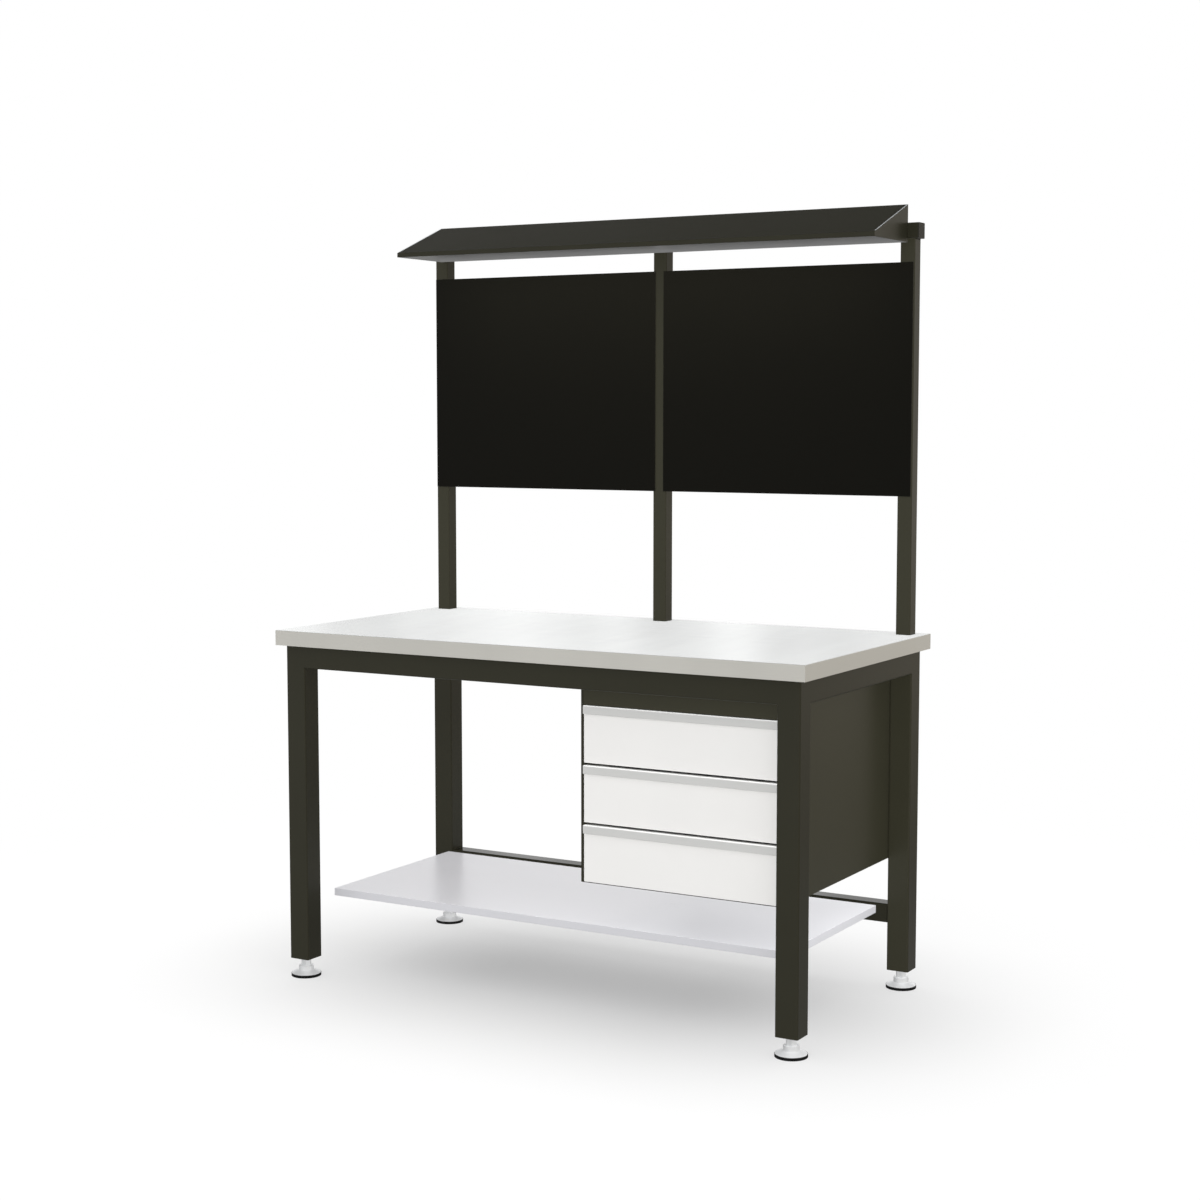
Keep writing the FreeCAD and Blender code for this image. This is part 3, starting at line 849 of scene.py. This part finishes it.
# Welds of the top rails: beads under and between them, ground fills at the legs' round corners
welds = bmesh.new()
down = (0, 0, -1)
rail_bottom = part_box("front_top_rail")[0].z
rail_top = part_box("front_top_rail")[1].z
cabinet_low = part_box("cabinet_side_right")[0]
for end, inward_y in (("front", 1), ("rear", -1)):
    for side, inward_x in (("left", 1), ("right", -1)):
        low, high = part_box("leg_%s_%s" % (end, side))
        inner_x, outer_x = (high.x, low.x) if side == "left" else (low.x, high.x)
        inner_y, outer_y = (high.y, low.y) if end == "front" else (low.y, high.y)
        far_y = cabinet_low.y if (end, side) == ("front", "right") else high.y
        weld_bead(welds, (inner_x, low.y + weld_end_gap, rail_bottom),
                  (inner_x, far_y - weld_end_gap, rail_bottom), (inward_x, 0, 0), down)
        weld_bead(welds, (low.x + weld_end_gap, inner_y, rail_bottom),
                  (high.x - weld_end_gap, inner_y, rail_bottom), (0, inward_y, 0), down)
        if side == "left":
            weld_bead(welds, (inner_x, inner_y, rail_bottom + weld_end_gap),
                      (inner_x, inner_y, rail_top - weld_end_gap), (inward_x, 0, 0), (0, inward_y, 0))
        corner_fill(welds, (inner_x, outer_y), -inward_x, inward_y, rail_bottom, rail_top)
        corner_fill(welds, (outer_x, inner_y), inward_x, -inward_y, rail_bottom, rail_top)

# Welds round both ends of the lower rail
low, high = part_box("rear_lower_rail")
for x, inward in ((low.x, 1), (high.x, -1)):
    for z, out in ((low.z, -1), (high.z, 1)):
        weld_bead(welds, (x, low.y + weld_end_gap, z), (x, high.y - weld_end_gap, z),
                  (inward, 0, 0), (0, 0, out))
    for y, out in ((low.y, -1), (high.y, 1)):
        weld_bead(welds, (x, y, low.z + weld_end_gap), (x, y, high.z - weld_end_gap),
                  (inward, 0, 0), (0, out, 0))

# Welds of the uprights under the rail on top of them
upright_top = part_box("top_rail")[0].z
for low, high in upright_boxes:
    for x, out in ((low.x, -1), (high.x, 1)):
        weld_bead(welds, (x, low.y + weld_end_gap, upright_top), (x, high.y - weld_end_gap, upright_top),
                  (out, 0, 0), down)

# Ground weld of the cabinet's side along the rear leg
low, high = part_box("leg_rear_right")
corner_fill(welds, (low.x, low.y), 1, 1, cabinet_low.z, rail_bottom, flank_lap)
new_piece("frame_welds", finished_mesh("frame_welds", welds), "frame_paint", "bench")

# Light strips where the hood's end plates meet its slope: a painted highlight along each hip edge
hip_highlights = bmesh.new()
for side in ("left", "right"):
    low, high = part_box("hood_end_plate_" + side)
    inner_x = high.x if side == "left" else low.x
    foot = Vector((inner_x, low.y, low.z + hood_lip))
    head = Vector((inner_x, high.y, high.z))
    hip_highlight_strip(hip_highlights, foot.lerp(head, seam_start), foot.lerp(head, seam_end))
new_piece("hood_seams", finished_mesh("hood_seams", hip_highlights), "zinc_sheet", "bench")


def floor_finish():
    """White where nothing shades it, duller where it is mirrored and in the light that it throws back."""
    paper = new_finish("white_floor")
    mirroring, plain = paper.rays()
    distance = paper.from_axis()
    grain = paper.noise(floor_grains_per_metre).swing(floor_grain)
    tone = floor_bounce_tone + (floor_tone - floor_bounce_tone) * plain + grain
    lit = paper.add("ShaderNodeBsdfDiffuse", None, {"Color": paper.vector(tone, tone, tone)})
    right = paper.axes(paper.place())[0].eased(*floor_right_rise)
    on_the_right = (floor_mirrored_near_right + floor_mirrored_per_metre * distance).limited()
    mirrored = floor_mirrored + (on_the_right - floor_mirrored) * right
    glow = paper.add("ShaderNodeEmission", None, {
        "Color": paper.blend(mirroring * right, white, right_side_tint),
        "Strength": 1 - mirroring + mirroring * mirrored,
    })
    far = distance.eased(*floor_fade)
    share = (plain + mirroring) * (floor_lift + (1 - floor_lift) * far)
    shader = paper.add("ShaderNodeMixShader", None, {0: share, 1: lit, 2: glow})
    paper.add("ShaderNodeOutputMaterial", None, {"Surface": shader})
    return paper.owner


def white_room():
    """Surroundings: white to the camera, mirrored brightest low down behind the bench, dim overhead."""
    world = bpy.data.worlds.new("white_studio")
    room = Finish(world)
    mirroring, plain = room.rays()
    x, y, z = room.axes(room.add("ShaderNodeTexCoord", None, None, "Generated"))
    soft_light = ambience - ambience_from_front * y + ambience_from_above * z
    overhead = 1 - (1 - ceiling_gloss) * z.eased(*ceiling_rise)
    from_front = front_gloss + (1 - front_gloss) * y.eased(*back_rise)
    right = x.eased(*right_rise)
    from_right = 1 - (1 - right_gloss) * right
    patches = room.noise(detail=1.0, at=room.vector(x * screens_each_way, y * screens_each_way, 0.0))
    screens = screens_bright - screens_drop * patches.eased(*screens_edge)
    mirrored = overhead * from_front * from_right * screens
    sky = room.add("ShaderNodeBackground", None, {
        "Color": room.blend(mirroring * right, white, right_side_tint),
        "Strength": soft_light * (1 - plain) * (1 - mirroring) + plain + mirroring * mirrored,
    })
    room.add("ShaderNodeOutputWorld", None, {"Surface": sky})
    return world


# Floor and room
half = floor_half_width
floor_corners = [(-half, -half, 0), (half, -half, 0), (half, half, 0), (-half, half, 0)]
floor_mesh = bpy.data.meshes.new("studio_floor")
floor_mesh.from_pydata(floor_corners, [], [(0, 1, 2, 3)])
floor_mesh.materials.append(floor_finish())
floor = bpy.data.objects.new("studio_floor", floor_mesh)
bpy.context.scene.collection.objects.link(floor)
bpy.context.scene.world = white_room()


def group(name, pieces):
    """A collection of pieces that a lamp lights or that shade it."""
    collection = bpy.data.collections.new(name)
    for piece in pieces:
        collection.objects.link(piece)
    return collection


def place_lamp(name, kind, strength, lit_group, place=(0, 0, 3), towards=(0, 0, -1)):
    """A lamp that lights one group of pieces and isn't seen in reflections."""
    lamp = bpy.data.lights.new(name, kind)
    lamp.energy = strength
    holder = bpy.data.objects.new(name, lamp)
    holder.location = place
    holder.rotation_euler = Vector(towards).to_track_quat("-Z", "Y").to_euler()
    holder.visible_glossy = False
    holder.light_linking.receiver_collection = lit_group
    bpy.context.scene.collection.objects.link(holder)
    return holder


# Broad light overhead that throws the worktop's soft shadow on the floor
overhead_light = place_lamp("overhead_light", "SUN", overhead_strength, group("floor_alone", [floor]))
overhead_light.data.angle = overhead_spread
overhead_shades = group("overhead_light_shades", [nodes["worktop_steel_cover"]])
overhead_light.light_linking.blocker_collection = overhead_shades

# Fills without shadows, for what the worktop and the hood leave dim. A piece that is lit through more
# than one group can lose a lamp at random, so each piece is in one group, with lamps of its own.
bench_pieces = [piece for piece in bpy.data.objects if piece.type == "MESH" and piece != floor]
inner_names = ("_box", "runner", "cabinet_back", "cabinet_floor", "spigots", "_handle")
outer_pieces = [piece for piece in bench_pieces if not any(word in piece.name for word in inner_names)]
uprights = [nodes["upright_" + place] for place in upright_places]
turned_feet = [piece for piece in bench_pieces if piece.name.startswith("turned_foot")]
lit_apart = {
    "panels": [nodes["panel_left"], nodes["panel_right"]],
    "set_back": uprights + [nodes["cabinet_fascia"], nodes["leg_rear_right"]],
    "cabinet_flank": [nodes["cabinet_side_right"]],
    "shelf_and_feet": [nodes["shelf_tray"]] + turned_feet,
}
taken = sum(lit_apart.values(), [])
lit_apart["other_pieces"] = [piece for piece in outer_pieces if piece not in taken]
lit = {name: group(name, pieces) for name, pieces in lit_apart.items()}

panel_low, panel_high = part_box("panel_left")
panel_strip_place = (0, panel_low.y - panel_strip_ahead, panel_high.z + panel_strip_above)
panel_strip = place_lamp("panel_strip", "AREA", panel_strip_watts, lit["panels"],
                         panel_strip_place, panel_strip_towards)
panel_strip.data.shape = "RECTANGLE"
panel_strip.data.size, panel_strip.data.size_y = panel_strip_size
fills = [
    panel_strip,
    place_lamp("straight_fill", "SUN", straight_fill_strength, lit["set_back"],
               towards=straight_fill_towards),
    place_lamp("side_fill", "SUN", side_fill_strength, lit["cabinet_flank"], towards=side_fill_towards),
    place_lamp("low_fill", "POINT", low_fill_watts, lit["shelf_and_feet"], low_fill_place),
]
for name, pieces in lit.items():
    fills.append(place_lamp("back_fill_" + name, "SUN", back_fill_strength, pieces,
                            towards=back_fill_towards))
    if name != "panels":
        fills.append(place_lamp("front_fill_" + name, "SUN", front_fill_strength, pieces,
                                towards=front_fill_towards))
for fill in fills:
    fill.data.use_shadow = False

# Light on the handles, which reaches into the gap over each as far as the piece above lets it
handles = group("handles", [nodes["drawer_%s_handle" % drawer] for drawer in drawers])
handle_light = place_lamp("handle_light", "SUN", handle_light_strength, handles,
                          towards=handle_light_towards)
over_handles = [nodes[node] for node in ("cabinet_fascia", "drawer_top_front", "drawer_middle_front")]
handle_light.light_linking.blocker_collection = group("handle_light_shades", over_handles)

# The worktop mirrors the room and not the uprights
for piece in uprights + [nodes["upright_spigots"], lock_bolts]:
    piece.visible_glossy = False

# Camera
lens = bpy.data.cameras.new("camera")
lens.sensor_width = sensor_width_mm
lens.lens = sensor_width_mm * focal_pixels / image_pixels
lens.clip_end = camera_reach
camera = bpy.data.objects.new("camera", lens)
camera.location = camera_place
camera.rotation_euler = (math.pi / 2 - camera_tilt_down, 0, camera_turn)
bpy.context.scene.collection.objects.link(camera)
bpy.context.scene.camera = camera
bpy.context.scene.view_settings.view_transform = "Standard"
